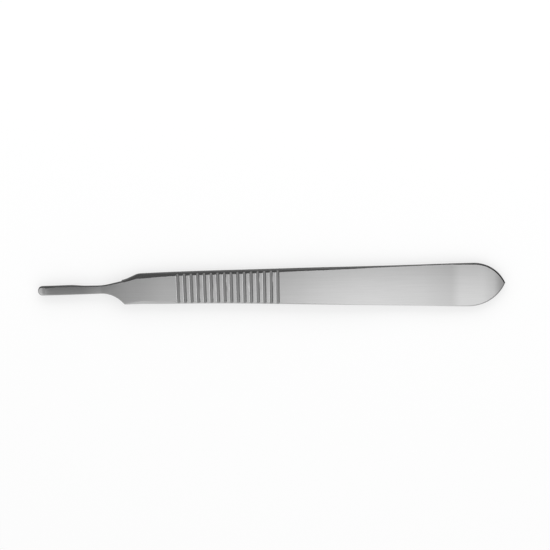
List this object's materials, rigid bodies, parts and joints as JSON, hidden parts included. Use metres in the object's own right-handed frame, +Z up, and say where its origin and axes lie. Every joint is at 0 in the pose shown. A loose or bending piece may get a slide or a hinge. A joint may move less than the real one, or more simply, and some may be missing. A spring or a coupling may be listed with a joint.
{
  "type": "scalpel handle",
  "caption": "Slim flat metal handle for surgical blades, with a grooved tang at one end, a ribbed grip and a thin pointed tail.",
  "frame": {"origin": "under the middle of the handle, on the surface that it lies on", "axes": "+X along the handle from the blade end to the pointed tail, +Y towards the spine edge, +Z up, out of the face opposite the blade boss"},
  "size_m": [0.125, 0.0117, 0.0035],
  "materials": {
    "steel": "satin"
  },
  "bodies": {
    "root": {"handle": "steel"}
  },
  "joints": []
}
